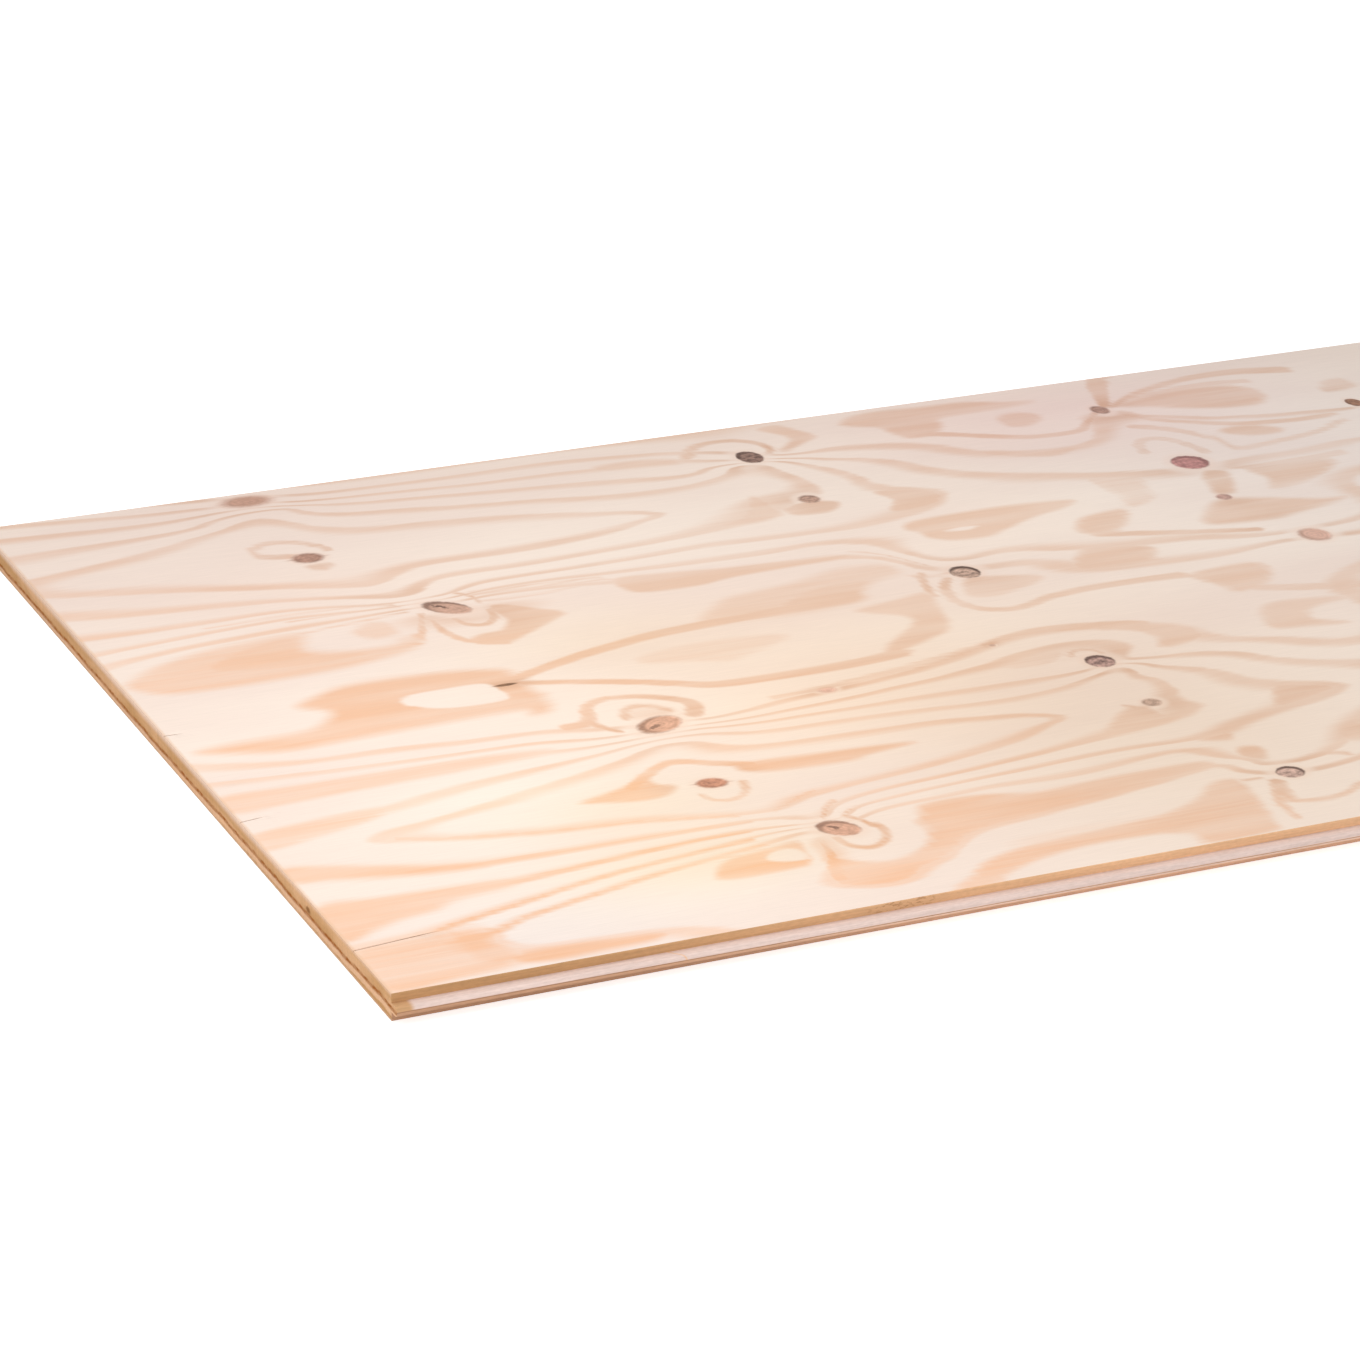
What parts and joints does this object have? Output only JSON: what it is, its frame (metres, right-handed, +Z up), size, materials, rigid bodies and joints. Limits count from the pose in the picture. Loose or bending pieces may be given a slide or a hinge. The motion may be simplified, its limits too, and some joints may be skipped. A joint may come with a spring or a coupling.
{
  "type": "plywood sheet",
  "caption": "Flat softwood plywood floor sheet with a rounded tongue along one long edge, the matching groove along the other and square-cut short edges.",
  "frame": {"origin": "middle of the sheet's outline, tongue included, on the underside", "axes": "+X along the face grain and the length, +Y across the width from the tongue edge to the groove edge, +Z up through the thickness towards the upper face"},
  "size_m": [2.44, 1.22, 0.024],
  "materials": {
    "softwood_ply": "bare, rotary-cut pine face, lightly sanded"
  },
  "bodies": {
    "root": {"plywood_sheet": "softwood_ply"}
  },
  "joints": []
}
